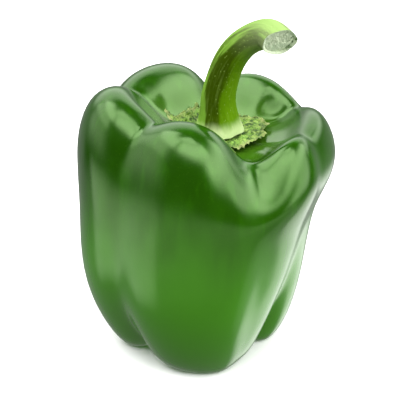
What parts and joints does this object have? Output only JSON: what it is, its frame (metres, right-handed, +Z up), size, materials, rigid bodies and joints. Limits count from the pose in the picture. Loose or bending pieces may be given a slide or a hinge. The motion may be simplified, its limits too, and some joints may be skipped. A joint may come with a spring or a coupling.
{
  "type": "bell pepper",
  "caption": "Blocky green bell pepper with rounded lobes, a deep pit at the top, a leafy calyx and a thick, curved, cut stem.",
  "frame": {"origin": "on the surface that the feet of the lobes stand on, under the centre of the box around the fruit", "axes": "+Z up along the fruit towards the stem, -Y towards the broad front lobe, +X towards the side that the stem bends to"},
  "size_m": [0.088, 0.0822, 0.1208],
  "materials": {
    "fruit_skin": "smooth waxy skin, very glossy",
    "calyx_leaf": "crinkled, dry, matte leaf",
    "stem_bark": "ribbed, faintly waxy stalk with a rough cut end"
  },
  "bodies": {
    "root": {"fruit": "fruit_skin", "calyx": "calyx_leaf", "stem": "stem_bark"}
  },
  "joints": []
}
